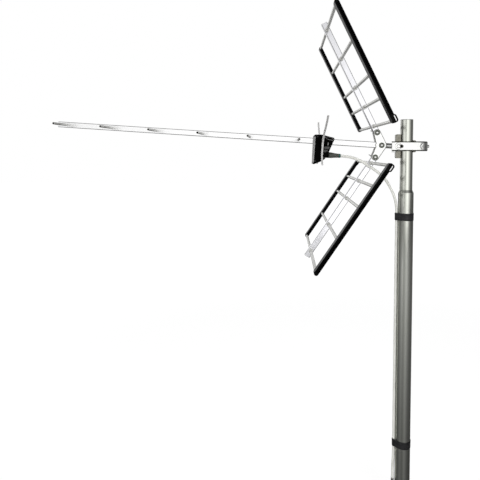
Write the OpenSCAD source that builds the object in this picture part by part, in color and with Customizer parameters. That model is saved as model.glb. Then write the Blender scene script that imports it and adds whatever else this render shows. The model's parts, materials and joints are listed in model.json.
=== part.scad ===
// Outdoor UHF television antenna with a corner reflector, on its steel mast.
// Millimetres. The origin is the centre of the mast's foot, +Z is up, the boom
// points to -X and every element rod runs along Y. "Near" pieces lie at -Y.

/* [Mast] */
// Length of the mast
mast_len = 1107; // [1080:1:1300]
// Outer diameter of the mast
mast_d = 42.4; // [40:0.1:44]
// Outer diameter of the swaged top of the mast
swage_d = 35; // [34:0.1:38]
// Length of the swaged top, with its step
swage_len = 208; // [190:1:230]
// Wall of the mast tube
mast_wall = 1.8; // [1.2:0.1:2.5]

/* [Boom and directors] */
// Side of the square tubes of the boom and of the two spines
tube_w = 16.8; // [15.5:0.1:17]
// Wall of the square tubes
tube_wall = 1.2; // [1:0.1:1.6]
// Length of the boom in front of the hub
boom_front = 964; // [960:1:990]
// Rise of the boom's front, in degrees
boom_tilt = 3.8; // [2:0.1:5]
// Distance from the hub to the first director
director_reach = 941; // [935:1:945]
// Spacing of the directors
director_pitch = 141; // [138:1:142]
// Length of the first director
director_len = 166; // [150:1:180]
// How much longer each director is than the one in front of it
director_step = 5; // [0:1:8]
// Diameter of a director tube
director_d = 7; // [6:0.1:8]

/* [Reflector] */
// Angle between the boom and each reflector panel, in degrees
panel_angle = 60.4; // [58:0.1:63]
// Length of a spine, measured from the hub
spine_len = 386; // [384:1:400]
// How far a spine's middle line passes behind the middle of the hub
panel_back = 4; // [3:0.5:5]
// Distance from the hub to the innermost rod
rod_first = 58; // [56:1:61]
// Spacing of the three inner rods
rod_pitch_in = 61; // [58:1:62]
// Spacing of the outer rods
rod_pitch_out = 92.5; // [88:0.5:93]
// Diameter of a reflector rod
rod_d = 8.4; // [7:0.1:9]
// Distance from the spine's middle to the inner face of a rail
rail_y = 245; // [230:1:260]

/* [Rails] */
// Width of a rail, across the panel
rail_w = 11; // [10.5:0.1:12]
// Depth of a rail, along the rods
rail_depth = 22; // [20:1:26]
// Spacing of the ribs in the outer channel of a rail
rib_pitch = 4.2; // [4:0.1:6]
// Depth of the ribbed outer channel
channel_depth = 9; // [6:0.5:9.5]

/* [Mast clamp] */
// Height of the middle of the clamp below the top of the mast
clamp_drop = 76; // [70:1:90]
// Distance from the mast's axis to the middle of the hub
hub_reach = 71; // [70:0.5:74]
// Height of the clamp yoke
yoke_h = 27; // [25:0.5:30]
// Inner distance between the arms of the yoke
yoke_gap = 49; // [48:0.5:52]
// Height of the front jaw
jaw_h = 68; // [56:1:72]

/* [Dipole box] */
// Distance from the hub to the front of the dipole box
box_front = 196; // [194:1:198]
// Width of the dipole box along Y
box_w = 52; // [50:1:56]
// Wall of the dipole box
box_wall = 2.4; // [2:0.1:2.6]
// Width of a dipole strip
strip_w = 5; // [4:0.5:6]
// Thickness of a dipole strip
strip_t = 2.4; // [2:0.1:3]

/* [Cable] */
// Diameter of the coaxial cable
cable_d = 7.8; // [6.6:0.1:7.9]
// Height of a tape band
tape_h = 21; // [18:1:24]
// Thickness of a tape band
tape_t = 1.2; // [0.8:0.1:2]

/* [Hidden] */
$fn = 48;
eps = 0.01;

UPPER = 1;
LOWER = -1;
NEAR = -1;
FAR = 1;

mast_r = mast_d / 2;
swage_r = swage_d / 2;
swage_step = 8;
clamp_z = mast_len - clamp_drop;

// The pivot barrel of the tail block lies on the boom's axis
pivot_x = -28.5;
pivot_r = 6;
hub_z = clamp_z + (hub_reach + pivot_x) * tan(boom_tilt);
boom_tail = 12;

rod_places = [
    rod_first,
    rod_first + rod_pitch_in,
    rod_first + 2 * rod_pitch_in,
    rod_first + 2 * rod_pitch_in + rod_pitch_out,
    rod_first + 2 * rod_pitch_in + 2 * rod_pitch_out
];
rod_wall = 1;
rod_seat = 10;
rod_len = 2 * (rail_y + rod_seat);
hole_gap = 0.2;

plate_t = 2.2;
plate_r = 10;
plate_hub_r = 14;
bolt_reach = 38;
bolt_d = 6;
nub_reach = 10;
nub_r = 7.5;
washer_t = 1.2;
washer_d = 16;

box_r = 8;
boot_y = -10;
boot_drop = 38;

// Frames

module hub_frame() {
    translate([-hub_reach, 0, hub_z]) rotate([0, boom_tilt, 0]) children();
}

// x runs outward along the spine, z points to the front of the antenna
module panel_frame(side) {
    hub_frame() mirror([0, 0, side == UPPER ? 0 : 1])
        rotate([0, panel_angle - 180, 0]) translate([0, 0, -panel_back]) children();
}

module along_y(y0, y1, r) {
    translate([0, y0, 0]) rotate([-90, 0, 0]) cylinder(h = y1 - y0, r = r);
}

module ring_y(y0, y1, r, bore_r) {
    difference() {
        along_y(y0, y1, r);
        along_y(y0 - 1, y1 + 1, bore_r);
    }
}

module hex_y(y0, y1, across) {
    translate([0, y0, 0]) rotate([-90, 30, 0])
        cylinder(h = y1 - y0, r = across / 2 / cos(30), $fn = 6);
}

module square_tube(x0, x1) {
    difference() {
        translate([x0, -tube_w / 2, -tube_w / 2]) cube([x1 - x0, tube_w, tube_w]);
        translate([x0 - 1, tube_wall - tube_w / 2, tube_wall - tube_w / 2])
            cube([x1 - x0 + 2, tube_w - 2 * tube_wall, tube_w - 2 * tube_wall]);
    }
}

// A straight bar with round ends, drawn flat between two points
module capsule(a, b, r) {
    turn = atan2(b[1] - a[1], b[0] - a[0]);
    translate(a) rotate(turn) {
        translate([0, -r]) square([norm(b - a), 2 * r]);
        circle(r);
    }
    translate(b) circle(r);
}

// Mast

module mast_tube() {
    body_top = mast_len - swage_len;
    color("#8f9384") rotate_extrude($fn = 96) polygon([
        [mast_r - mast_wall, 0],
        [mast_r, 0],
        [mast_r, body_top],
        [swage_r, body_top + swage_step],
        [swage_r, mast_len],
        [swage_r - mast_wall, mast_len],
        [swage_r - mast_wall, body_top + swage_step],
        [mast_r - mast_wall, body_top]
    ]);
}

// Boom and directors

director_places = [for (i = [0:5]) -director_reach + i * director_pitch];

module boom_tube() {
    color("#dfe1e0") hub_frame() difference() {
        square_tube(-boom_front, boom_tail);
        for (x = director_places)
            translate([x, 0, 0]) along_y(-tube_w, tube_w, (director_d + hole_gap) / 2);
        along_y(-tube_w, tube_w, (bolt_d + 0.4) / 2);
    }
}

module director(i) {
    half = (director_len + (i - 1) * director_step) / 2;
    color("#c9cbca") hub_frame() translate([director_places[i - 1], 0, 0])
        ring_y(-half, half, director_d / 2, director_d / 2 - 0.9);
}

// Reflector panels

module spine(side) {
    spine_start = 15;
    color("#dcdedd") panel_frame(side) difference() {
        square_tube(spine_start, spine_len);
        for (x = rod_places)
            translate([x, 0, 0]) along_y(-tube_w, tube_w, (rod_d + hole_gap) / 2);
        translate([bolt_reach, 0, 0]) along_y(-tube_w, tube_w, (bolt_d + 0.4) / 2);
    }
}

module rod(side, i) {
    color("#b9bbb8") panel_frame(side) translate([rod_places[i - 1], 0, 0])
        ring_y(-rod_len / 2, rod_len / 2, rod_d / 2, rod_d / 2 - rod_wall);
}

clip_len = 6;
clip_d = 12.5;

module rod_clips(side) {
    color("#a9aba8") panel_frame(side) for (x = rod_places, end = [NEAR, FAR])
        translate([x, end * (tube_w + clip_len) / 2, 0])
            ring_y(-clip_len / 2, clip_len / 2, clip_d / 2, rod_d / 2);
}

// Rails: a moulded bar with an open channel of small ribs on its outer face,
// pockets between the rod sockets on its inner face, and an eye at its end

rail_from = rod_first - 5.8;
rail_to = rod_places[4] + 6.5;
rail_wall = 1.5;
// The eye: a thin flat loop at the outer face, set back from the rail's middle
eye_x = rod_first + 4.5;
eye_back = 3.4;
eye_half = 4.3;
eye_r = 5.7;
eye_bore_r = 2.7;
eye_t = 4;
eye_gap = 6;

module rail_outline() {
    capsule([rail_from + rail_w / 2, 0], [rail_to - rail_w / 2, 0], rail_w / 2);
}

module rib_comb() {
    comb_from = eye_x + eye_half + eye_r + 2;
    comb_to = rod_places[4] - 2;
    slot_w = rail_w - 2 * rail_wall;
    slot_len = rib_pitch * 0.62;
    spaces = floor((comb_to - comb_from - slot_len) / rib_pitch);
    last = comb_from + spaces * rib_pitch + slot_len;
    translate([comb_from, -slot_w / 6]) square([last - comb_from, slot_w / 3]);
    for (i = [0:spaces])
        translate([comb_from + i * rib_pitch, -slot_w / 2]) square([slot_len, slot_w]);
}

// Extrudes an outline of the panel's plane from one depth in the rail to another
module from_to(y0, y1) {
    translate([0, y0, 0]) rotate([90, 0, 0]) mirror([0, 0, 1]) linear_extrude(y1 - y0) children();
}

module eye_outline(r) {
    capsule([eye_x - eye_half, -eye_back], [eye_x + eye_half, -eye_back], r);
}

// Drawn with the rods' sockets at y = 0 and the outer face at y = rail_depth
module rail_body() {
    pocket_margin = 12;
    pocket_depth = 6;
    pocket_r = rail_w / 2 - 2;
    gap_end = eye_x + eye_half + eye_r;
    difference() {
        union() {
            difference() {
                from_to(0, rail_depth) rail_outline();
                from_to(rail_depth - eye_t - eye_gap, rail_depth - eye_t)
                    translate([rail_from - 1, -rail_w]) square([gap_end - rail_from + 1, rail_w - 1.2]);
            }
            from_to(rail_depth - eye_t, rail_depth) eye_outline(eye_r);
        }
        from_to(rail_depth - eye_t - 1, rail_depth + 1) eye_outline(eye_bore_r);
        from_to(rail_depth - channel_depth, rail_depth + 1) rib_comb();
        for (x = rod_places)
            translate([x, 0, 0]) along_y(-1, rod_seat + 0.3, rod_d / 2);
        for (i = [0:3])
            from_to(-1, pocket_depth) capsule(
                [rod_places[i] + pocket_margin, 0], [rod_places[i + 1] - pocket_margin, 0], pocket_r);
    }
}

module rail(side, end) {
    color("#232325") panel_frame(side) mirror([0, end == NEAR ? 1 : 0, 0])
        translate([0, rail_y, 0]) rail_body();
}

// Hub

// The bolts' places in the plane of the hub plates, [x, z] from the hub
bolt_x = panel_back * sin(panel_angle) - bolt_reach * cos(panel_angle);
bolt_z = panel_back * cos(panel_angle) + bolt_reach * sin(panel_angle);
bolt_places = [[0, 0], [bolt_x, bolt_z], [bolt_x, -bolt_z]];

module hub_plate(end) {
    inner = tube_w / 2;
    color("#e4e5e3") hub_frame() difference() {
        translate([0, end == NEAR ? -inner : inner + plate_t, 0]) rotate([90, 0, 0])
            linear_extrude(plate_t) {
                for (i = [1, 2])
                    hull() {
                        circle(plate_hub_r, $fn = 32);
                        translate(bolt_places[i]) circle(plate_r, $fn = 32);
                    }
                capsule([-nub_reach, 0], [0, 0], nub_r);
            }
        for (p = bolt_places)
            translate([p[0], 0, p[1]]) along_y(-20, 20, (bolt_d + 0.4) / 2);
    }
}

stack_y = tube_w / 2 + plate_t;
nut_y = stack_y + washer_t;

module hub_washers() {
    color("#b4b6b2") hub_frame() for (p = bolt_places, end = [NEAR, FAR])
        translate([p[0], end * (stack_y + washer_t / 2), p[1]])
            ring_y(-washer_t / 2, washer_t / 2, washer_d / 2, (bolt_d + 0.4) / 2);
}

module hub_bolts() {
    head_t = 4;
    tail = nut_y + 11;
    color("#9fa29c") hub_frame() for (p = bolt_places) translate([p[0], 0, p[1]]) {
        along_y(-nut_y - eps, tail, bolt_d / 2);
        intersection() {
            hex_y(-nut_y - head_t, -nut_y, 10);
            translate([0, -nut_y, 0]) rotate([90, 0, 0])
                cylinder(h = head_t, r1 = 7, r2 = 4.6, $fn = 32);
        }
    }
}

module wing_nuts() {
    body_h = 7;
    wing_t = 2.2;
    color("#a8aaa5") hub_frame() for (p = bolt_places) translate([p[0], nut_y, p[1]])
        rotate([0, 25, 0]) difference() {
            union() {
                along_y(0, body_h, 5.5);
                translate([0, 0, -wing_t / 2]) linear_extrude(wing_t) for (s = [-1, 1])
                    capsule([4 * s, 4], [12 * s, 10], 3);
            }
            along_y(-4, 20, bolt_d / 2);
        }
}

// Mast clamp

neck_r = 7.5;
pin_d = 7;
yoke_t = 2.5;
yoke_lip = 5;
yoke_corner = 3.6;
yoke_bend_x = 30.5;
yoke_half = yoke_gap / 2 + yoke_t;
near_arm_from = -46;
far_arm_from = -35;
slot_r = 4.1;
slot_end = -18.8;
boss_r = 9.2;
boss_t = 0.7;
screw_d = 8;
screw_end = yoke_bend_x + yoke_half + 4.5;

// The neck runs from the boom's tail to the barrel round the cross pin
module tail_block() {
    spigot = tube_w - 2 * tube_wall - 0.1;
    neck_len = hub_reach + pivot_x - boom_tail - 3.5;
    lug = [7, 20, yoke_h / 2];
    color("#c2c4c0") difference() {
        union() {
            hub_frame() {
                translate([boom_tail - 5, -spigot / 2, -spigot / 2]) cube([5 + eps, spigot, spigot]);
                translate([boom_tail, 0, 0]) rotate([0, 90, 0]) cylinder(h = neck_len, r = neck_r);
            }
            translate([pivot_x, 0, clamp_z]) {
                along_y(-yoke_gap / 2, yoke_gap / 2, pivot_r);
                translate([-10.5, -lug[1] / 2, -yoke_h / 2 - 3.5]) cube(lug);
            }
        }
        translate([pivot_x, 0, clamp_z]) along_y(-40, 40, (pin_d + 0.2) / 2);
    }
}

// Half of the yoke's section: a web with its round corners outward and two
// lips that point to the mast, drawn at its distance from the clamp's middle
module yoke_section() {
    difference() {
        union() {
            translate([yoke_half - yoke_lip, -yoke_h / 2]) square([yoke_lip - yoke_corner, yoke_h]);
            translate([yoke_half - yoke_corner - eps, yoke_corner - yoke_h / 2])
                square([yoke_corner + eps, yoke_h - 2 * yoke_corner]);
            intersection() {
                translate([yoke_half - yoke_corner, -yoke_h / 2]) square([yoke_corner, yoke_h]);
                for (s = [-1, 1])
                    translate([yoke_half - yoke_corner, s * (yoke_h / 2 - yoke_corner)]) circle(yoke_corner);
            }
        }
        translate([yoke_half - yoke_lip - 1, yoke_t - yoke_h / 2])
            square([yoke_lip - yoke_t + 1, yoke_h - 2 * yoke_t]);
    }
}

module yoke_arm(end, from) {
    mirror([0, end == NEAR ? 1 : 0, 0]) translate([from, 0, 0]) rotate([90, 0, 90])
        linear_extrude(yoke_bend_x - from) yoke_section();
}

// The arms end at the pin; the bend goes round behind the mast
module clamp_yoke() {
    bead = [[0, 0], [8, 9], [10.5, 7], [4.5, 0], [10.5, -7], [8, -9]];
    bead_depth = 1.4;
    color("#d9dad6") translate([0, 0, clamp_z]) difference() {
        union() {
            yoke_arm(NEAR, near_arm_from);
            yoke_arm(FAR, far_arm_from);
            translate([yoke_bend_x, 0, 0]) rotate([0, 0, -90]) rotate_extrude(angle = 180, $fn = 96) yoke_section();
            translate([pivot_x, 0, 0]) along_y(-yoke_half - boss_t, -yoke_half + yoke_t, boss_r);
        }
        rotate([90, 0, 0]) translate([0, 0, -40]) linear_extrude(80)
            capsule([pivot_x, 0], [slot_end, 0], slot_r);
        for (s = [-1, 1]) mirror([0, s > 0 ? 1 : 0, 0])
            translate([yoke_bend_x, bead_depth - yoke_half, 0]) rotate([90, 0, 0])
                linear_extrude(10) polygon(bead);
        translate([yoke_bend_x, 0, 0]) rotate([0, 90, 0]) cylinder(h = 40, r = screw_d / 2 + 0.2);
    }
}

jaw_half = 8;
jaw_t = 2.5;
tooth_pitch = 4;
tooth_h = 1.6;

// A pressed channel whose two flanges grip the mast with their teeth;
// the web is at x = 0 and the flanges reach to x = depth
module toothed_jaw(depth, height) {
    corner_r = 3.5;
    teeth = floor((height - 2) / tooth_pitch);
    difference() {
        rotate([90, 0, 0]) translate([0, 0, -jaw_half]) linear_extrude(2 * jaw_half) difference() {
            union() {
                translate([corner_r, -height / 2]) square([depth - corner_r, height]);
                translate([0, corner_r - height / 2]) square([depth, height - 2 * corner_r]);
                for (s = [-1, 1])
                    translate([corner_r, s * (height / 2 - corner_r)]) circle(corner_r);
            }
            for (i = [0:teeth - 1])
                translate([depth, (i + 0.5 - teeth / 2) * tooth_pitch])
                    polygon([[-tooth_h, 0], [0.1, tooth_pitch / 2], [0.1, -tooth_pitch / 2]]);
        }
        translate([jaw_t, jaw_t - jaw_half, -height]) cube([depth, 2 * (jaw_half - jaw_t), 2 * height]);
    }
}

// Where the inner edge of a flange meets the mast
jaw_reach = sqrt(swage_r * swage_r - (jaw_half - jaw_t) * (jaw_half - jaw_t)) + 0.15;
front_jaw_depth = 14;
rear_jaw_depth = 7.5;

// The front jaw hangs on the tail block's barrel
module front_jaw() {
    color("#9a9d94") translate([-jaw_reach - front_jaw_depth, 0, clamp_z]) difference() {
        toothed_jaw(front_jaw_depth, jaw_h);
        translate([pivot_x + jaw_reach + front_jaw_depth, 0, 0]) along_y(-20, 20, pivot_r + 0.15);
    }
}

module rear_jaw() {
    color("#9a9d94") translate([jaw_reach + rear_jaw_depth, 0, clamp_z])
        mirror([1, 0, 0]) toothed_jaw(rear_jaw_depth, yoke_h + 7);
}

module pressure_screw() {
    seat = jaw_reach + rear_jaw_depth;
    color("#b7b9b4") translate([seat, 0, clamp_z]) rotate([0, 90, 0]) difference() {
        cylinder(h = screw_end - seat, r = screw_d / 2);
        translate([0, 0, screw_end - seat - 4]) cylinder(h = 5, r = 2.5 / cos(30), $fn = 6);
    }
}

module screw_nut() {
    bend_inner = yoke_bend_x + yoke_gap / 2;
    color("#b7b9b4") translate([bend_inner - 8, 0, clamp_z]) rotate([0, 90, 0]) difference() {
        cylinder(h = 6.5, r = 6.5 / cos(30), $fn = 6);
        translate([0, 0, -1]) cylinder(h = 10, r = screw_d / 2);
    }
}

module cross_pin() {
    head = 1.2;
    color("#d4d5d2") translate([pivot_x, 0, clamp_z]) {
        along_y(-yoke_half - 1, yoke_half, pin_d / 2);
        translate([0, yoke_half, 0]) along_y(0, head, slot_r + 1.6);
    }
}

// Dipole box

// Side outline of the box, [x, z] from its front and the boom's axis
box_outline = [
    [4.5, -66], [2.5, 14], [6.5, 18], [25, 19], [60, 12], [61, 7],
    [54, -12], [48, -30], [38, -50], [27, -58], [8, -67]
];
box_front_x = 2.5;

module box_solid(inset) {
    half = box_w / 2 - inset;
    corner = box_r - inset;
    intersection() {
        translate([0, half, 0]) rotate([90, 0, 0]) linear_extrude(2 * half)
            offset(delta = -inset) polygon(box_outline);
        translate([0, 0, -90]) linear_extrude(130) {
            translate([box_front_x + box_r, -half]) square([80, 2 * half]);
            translate([box_front_x + inset, corner - half]) square([80, 2 * (half - corner)]);
            for (s = [-1, 1])
                translate([box_front_x + box_r, s * (half - corner)]) circle(corner);
        }
    }
}

boom_gap = 0.2;
// The box's screws, [x, z] from its front and the boom's axis
box_screw_places = [[11, -57], [44, -22], [13, 13]];
box_post_r = 3.6;
box_screw_d = 3;
outlet_x = 49;
outlet_r = 8.4;
outlet_bore = 8.5;
// The posts of the balun board, [x, z]
board_posts = [[11, -43], [11, -19], [31, -40]];
board_y = 13;
board_t = 1.6;

module box_shell() {
    difference() {
        union() {
            difference() {
                box_solid(0);
                box_solid(box_wall);
            }
            intersection() {
                box_solid(0);
                union() {
                    translate([-1, 0, 0]) rotate([0, 90, 0])
                        translate([-tube_w / 2 - 2, -tube_w / 2 - 2, 0]) cube([tube_w + 4, tube_w + 4, 80]);
                    for (p = box_screw_places)
                        translate([p[0], 0, p[1]]) along_y(-box_w, box_w, box_post_r);
                    for (p = board_posts)
                        translate([p[0], 0, p[1]]) along_y(board_y + board_t, box_w, 2.5);
                }
            }
            translate([outlet_x - 14, boot_y, -boot_drop]) rotate([0, 90, 0])
                cylinder(h = 14, r = outlet_r);
        }
        translate([-2, -(tube_w + boom_gap) / 2, -(tube_w + boom_gap) / 2])
            cube([90, tube_w + boom_gap, tube_w + boom_gap]);
        for (p = box_screw_places)
            translate([p[0], 0, p[1]]) along_y(-box_w, box_w / 2 - 4, box_screw_d / 2);
        translate([0, boot_y, -boot_drop]) rotate([0, 90, 0])
            translate([0, 0, outlet_x - 22]) cylinder(h = 60, r = outlet_bore / 2);
        for (end = [NEAR, FAR])
            translate([strip_x(end), end * box_w / 2, dipole_z]) along_y(-12, 12, holder_r);
    }
}

module box_frame() {
    hub_frame() translate([-box_front, 0, 0]) children();
}

module box_housing() {
    color("#1d1e20") box_frame() intersection() {
        box_shell();
        translate([-10, 0, -100]) cube([100, 60, 200]);
    }
}

// The near half carries a raised panel and a small latch
module box_cover() {
    color("#1d1e20") box_frame() {
        difference() {
            intersection() {
                box_shell();
                translate([-10, -60, -100]) cube([100, 60, 200]);
            }
            for (p = box_screw_places)
                translate([p[0], -box_w / 2, p[1]]) along_y(-1, 1.6, 2.8);
        }
        translate([0, -box_w / 2, 0]) rotate([90, 0, 0]) {
            linear_extrude(1.8) capsule([42, 10], [54, 8], 3.4);
            linear_extrude(1.4) capsule([44, -4], [44, -10], 2.6);
            linear_extrude(1.2) translate([40, -33]) square([6, 5]);
        }
    }
}

module box_screws() {
    color("#8d8f8b") box_frame() for (p = box_screw_places)
        translate([p[0], -box_w / 2, p[1]]) difference() {
            union() {
                along_y(0, 1.6, 2.7);
                along_y(1, box_w - 8, box_screw_d / 2);
            }
            translate([-2, -1, -0.35]) cube([4, 1.8, 0.7]);
        }
}

// Dipole: two bent strips, carried by round holders on the sides of the box

dipole_x = 28.5;
// The far strip stands a little in front of the near one
dipole_stagger = 5;
dipole_z = -4;
holder_r = 7;
holder_out = 7;
// Route of the near strip, [distance from the boom's plane, height]
strip_route = [
    [152, 64], [130, 50.5], [102, 37], [72, 26], [50, 16.5], [38, 5],
    [33, -8], [33, -28], [38, -41], [52, -54], [74, -66]
];

function unit(v) = v / norm(v);
function square_off(v) = [-v[1], v[0]];
function side_of(p, i) = square_off(unit(p[min(i + 1, len(p) - 1)] - p[max(i - 1, 0)]));

module strip_band() {
    last = len(strip_route) - 1;
    left = [for (i = [0:last]) strip_route[i] + side_of(strip_route, i) * strip_t / 2];
    right = [for (i = [last:-1:0]) strip_route[i] - side_of(strip_route, i) * strip_t / 2];
    lower_tip = strip_route[last] + unit(strip_route[last] - strip_route[last - 1]) * strip_t / 2;
    upper_tip = strip_route[0] + unit(strip_route[0] - strip_route[1]) * strip_t / 2;
    polygon(concat(left, [lower_tip], right, [upper_tip]));
}

function strip_x(end) = end == NEAR ? dipole_x : dipole_x - dipole_stagger;

module at_dipole(end) {
    box_frame() translate([strip_x(end), 0, 0]) mirror([0, end == NEAR ? 1 : 0, 0]) children();
}

strip_y = 33;

module dipole(end) {
    color("#c5c7c5") at_dipole(end) difference() {
        translate([-strip_w / 2, 0, 0]) rotate([90, 0, 90]) linear_extrude(strip_w) strip_band();
        translate([0, 0, -18]) along_y(strip_y - 4, strip_y + 4, 1.6);
    }
}

module holder(end) {
    seat = strip_y - strip_t / 2;
    color("#18191b") at_dipole(end) difference() {
        union() {
            translate([0, 0, dipole_z]) along_y(box_w / 2 - box_wall, seat, holder_r - 0.1);
            translate([-5, box_w / 2, -23]) cube([10, seat - box_w / 2, 20]);
        }
        translate([0, 0, -18]) along_y(box_w / 2 - 6, seat + 1, 1.5);
    }
}

module dipole_screws() {
    color("#d0d1ce") for (end = [NEAR, FAR]) at_dipole(end) translate([0, strip_y + strip_t / 2, -18]) {
        along_y(-strip_t - 3.5, eps, 1.5);
        along_y(0, 1.8, 2.6);
    }
}

module balun_board() {
    color("#2f6b3c") box_frame() difference() {
        translate([7, board_y, -47]) cube([28, board_t, 32]);
        translate([strip_x(FAR), board_y, -18]) along_y(-4, 4, 1.8);
    }
}

// Coaxial outlet and cable

module coax_socket() {
    color("#bfc1bd") box_frame() translate([outlet_x - 22, boot_y, -boot_drop]) rotate([0, 90, 0]) difference() {
        union() {
            cylinder(h = 4, r = 6.2 / cos(30), $fn = 6);
            cylinder(h = 22, r = 4.2);
        }
        translate([0, 0, 6]) cylinder(h = 30, r = 2.4);
    }
}

boot_len = 34;
boot_tip_d = 9.6;
boot_hole_r = cable_d / 2 + 0.15;

// The boot sits on the end of the box's round outlet
module boot_frame() {
    box_frame() translate([outlet_x, boot_y, -boot_drop]) children();
}

module cable_boot() {
    color("#2b2e29") boot_frame() rotate([0, 90, 0]) rotate_extrude() polygon([
        [4.25, 0], [8.2, 0], [8.2, 8], [7.5, 11], [5.8, boot_len - 5], [boot_tip_d / 2, boot_len - 5],
        [boot_tip_d / 2, boot_len], [boot_hole_r, boot_len], [boot_hole_r, 6], [4.25, 6]
    ]);
}

module boot_ring() {
    color("#0f3f38") boot_frame() translate([boot_len - 4.6, 0, 0]) rotate([0, 90, 0]) difference() {
        cylinder(h = 4, r = 5.9);
        translate([0, 0, -1]) cylinder(h = 10, r = boot_tip_d / 2);
    }
}

// Middle line of the cable, [x, y, z]: out of the boot, past the lower
// reflector panel between its first two rods, and down the mast's side
cable_x = -25.4;
plug_x = -27.5;
cable_route = [
    [-198, -10, 1004], [-186, -10, 1003.2], [-173, -10, 1002], [-160, -11, 1000], [-146, -12, 996],
    [-132, -14, 990], [-119, -15, 983], [-107, -16, 974], [-94, -15, 966],
    [-80, -13, 956], [-67, -10, 945], [-56, -7, 932], [-47, -4, 917],
    [-38, -2, 900], [-31, -1, 882], [-27, 0, 864], [cable_x, 0, 846],
    [cable_x, 0, 820], [cable_x, 0, 780], [cable_x, 0, 720], [cable_x, 0, 660],
    [cable_x, 0, 600], [cable_x, 0, 540], [cable_x, 0, 480], [cable_x, 0, 420],
    [cable_x, 0, 360], [cable_x, 0, 300], [cable_x, 0, 240], [cable_x, 0, 190],
    [cable_x, 0, 150], [-26.2, 0, 120], [plug_x, 0, 90],
    [plug_x, 0, 76], [plug_x, 0, 62]
];
cable_sides = 10;
cable_steps = 2;

function clamp_at(p, i) = p[max(0, min(len(p) - 1, i))];
function spline(a, b, c, d, t) =
    0.5 * (2 * b + (c - a) * t + (2 * a - 5 * b + 4 * c - d) * t * t + (3 * b - a - 3 * c + d) * t * t * t);
function smooth_route(p, steps) = [
    for (i = [0:len(p) - 2], s = [0:steps - 1])
        spline(clamp_at(p, i - 1), p[i], p[i + 1], clamp_at(p, i + 2), s / steps),
    p[len(p) - 1]
];
function heading(p, i) = unit(clamp_at(p, i + 1) - clamp_at(p, i - 1));
function ring_at(centre, along, r, sides) =
    let (u = unit(cross([0, 1, 0], along)), v = cross(along, u))
    [for (k = [0:sides - 1]) centre + r * (cos(360 * k / sides) * u + sin(360 * k / sides) * v)];

module swept_tube(path, d, sides) {
    n = len(path);
    points = [for (i = [0:n - 1]) each ring_at(path[i], heading(path, i), d / 2, sides)];
    walls = [for (i = [0:n - 2], k = [0:sides - 1])
        [i * sides + k, i * sides + (k + 1) % sides, (i + 1) * sides + (k + 1) % sides, (i + 1) * sides + k]];
    first = [for (k = [sides - 1:-1:0]) k];
    last = [for (k = [0:sides - 1]) (n - 1) * sides + k];
    polyhedron(points = points, faces = concat([first], walls, [last]), convexity = 4);
}

module coax_cable() {
    color("#d8d8d4") swept_tube(smooth_route(cable_route, cable_steps), cable_d, cable_sides);
}

plug_top = 62;
plug_len = 30;

module cable_plug() {
    color("#c4c6c2") translate([plug_x, 0, plug_top - plug_len]) rotate_extrude() polygon([
        [0, plug_len], [4.2, plug_len], [4.2, plug_len - 8], [4.6, plug_len - 10],
        [4.6, 15], [5.4, 14], [5.4, 0], [4.6, 0], [4.6, 10], [0.5, 10], [0.5, -3], [0, -3]
    ]);
}

module tape_band(middle) {
    color("#151515") translate([0, 0, middle - tape_h / 2]) linear_extrude(tape_h) difference() {
        hull() {
            circle(mast_r + tape_t, $fn = 64);
            translate([cable_x, 0]) circle(cable_d / 2 + 0.1 + tape_t, $fn = 32);
        }
        hull() {
            circle(mast_r + 0.05, $fn = 64);
            translate([cable_x, 0]) circle(cable_d / 2 + 0.1, $fn = 32);
        }
    }
}

mast_tube();
boom_tube();
director(1);  // director_1
director(2);  // director_2
director(3);  // director_3
director(4);  // director_4
director(5);  // director_5
director(6);  // director_6
spine(UPPER);  // upper_spine
spine(LOWER);  // lower_spine
rod(UPPER, 1);  // upper_rod_1
rod(UPPER, 2);  // upper_rod_2
rod(UPPER, 3);  // upper_rod_3
rod(UPPER, 4);  // upper_rod_4
rod(UPPER, 5);  // upper_rod_5
rod(LOWER, 1);  // lower_rod_1
rod(LOWER, 2);  // lower_rod_2
rod(LOWER, 3);  // lower_rod_3
rod(LOWER, 4);  // lower_rod_4
rod(LOWER, 5);  // lower_rod_5
rail(UPPER, NEAR);  // upper_near_rail
rail(UPPER, FAR);  // upper_far_rail
rail(LOWER, NEAR);  // lower_near_rail
rail(LOWER, FAR);  // lower_far_rail
rod_clips(UPPER);  // upper_rod_clips
rod_clips(LOWER);  // lower_rod_clips
hub_plate(NEAR);  // near_hub_plate
hub_plate(FAR);  // far_hub_plate
hub_bolts();
hub_washers();
wing_nuts();
tail_block();
clamp_yoke();
front_jaw();
rear_jaw();
pressure_screw();
screw_nut();
cross_pin();
box_housing();
box_cover();
box_screws();
balun_board();
coax_socket();
dipole(NEAR);  // near_dipole
dipole(FAR);  // far_dipole
holder(NEAR);  // near_holder
holder(FAR);  // far_holder
dipole_screws();
cable_boot();
boot_ring();
coax_cable();
cable_plug();
tape_band(clamp_z - 201);  // upper_tape
tape_band(clamp_z - 862);  // lower_tape
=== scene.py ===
"""The looks of a UHF television antenna on its mast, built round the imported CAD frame."""
import json
import math

import bmesh
import bpy
from mathutils import Matrix, Vector


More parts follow.
